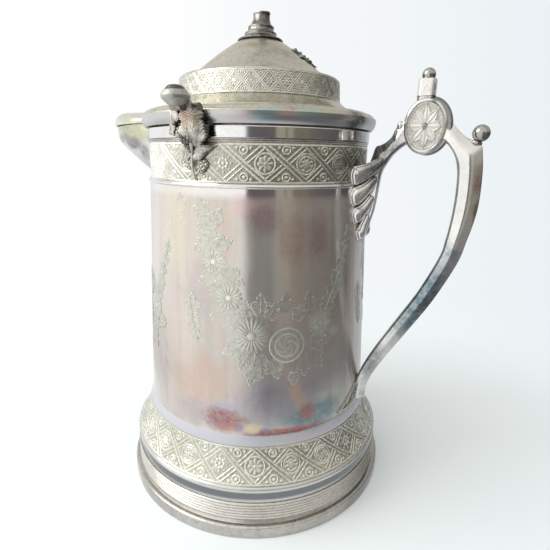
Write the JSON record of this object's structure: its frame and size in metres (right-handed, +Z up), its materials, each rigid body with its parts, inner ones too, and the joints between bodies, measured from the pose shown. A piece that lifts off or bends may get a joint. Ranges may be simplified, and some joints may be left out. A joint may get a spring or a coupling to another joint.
{
  "type": "ice-water pitcher",
  "caption": "Lidded, double-walled metal table pitcher with a side-hinged domed lid, a beak spout with a hinged flap, patterned bands and a tall cast handle.",
  "frame": {"origin": "centre of the foot ring on the floor plane", "axes": "+Z up along the axis of the body, +X towards the handle, -X towards the spout, -Y towards the lid hinge"},
  "size_m": [0.2779, 0.1976, 0.3251],
  "materials": {
    "tarnished_plate": "polished plate with pink-brown and grey tarnish",
    "polished_plate": "polished, slightly hazed",
    "rolled_pattern_plate": "matt ground with raised, rubbed pattern lines",
    "cast_plate": "satin casting with dark recesses",
    "silver_plate": "polished casting with blue-green and mauve tarnish",
    "bare_white_metal": "plain spun, dull",
    "hinge_pin_metal": "drawn wire, dull"
  },
  "bodies": {
    "pitcher": {"foot_ring": "polished_plate", "base_plate": "bare_white_metal", "reeded_band": "rolled_pattern_plate", "foot_moulding": "polished_plate", "foot_skirt": "rolled_pattern_plate", "body_jacket": "tarnished_plate", "band_lower_moulding": "polished_plate", "upper_band": "rolled_pattern_plate", "band_upper_bead": "polished_plate", "collar_ring": "polished_plate", "inner_liner": "bare_white_metal", "ice_guard": "bare_white_metal", "spout": "polished_plate", "spout_flap_pin": "hinge_pin_metal", "hinge_bracket": "cast_plate", "lid_hinge_pin": "hinge_pin_metal", "vine_leaf": "cast_plate", "grape_cluster": "cast_plate", "handle": "silver_plate", "handle_block": "silver_plate", "handle_top_ball": "silver_plate", "handle_outer_ball": "silver_plate", "handle_root_leaf": "cast_plate", "handle_foot_plate": "cast_plate", "medallion_near": "cast_plate", "medallion_far": "cast_plate"},
    "lid": {"lid_shell": "polished_plate", "lid_band": "rolled_pattern_plate", "lid_lining": "bare_white_metal", "finial": "cast_plate", "finial_washer": "bare_white_metal", "finial_nut": "bare_white_metal", "lid_sprig": "cast_plate", "lid_hinge_lug": "cast_plate", "thumb_knob": "cast_plate"},
    "flap": {"spout_flap": "polished_plate"}
  },
  "joints": [
    {"name": "lid_hinge", "type": "hinge", "parent": "pitcher", "child": "lid", "pos_m": [0, -0.0822, 0.2575], "axis": [1, 0, 0], "range_deg": [0, 75]},
    {"name": "spout_flap_hinge", "type": "hinge", "parent": "pitcher", "child": "flap", "pos_m": [-0.0832, 0, 0.2662], "axis": [0, 1, 0], "range_deg": [0, 70]}
  ]
}
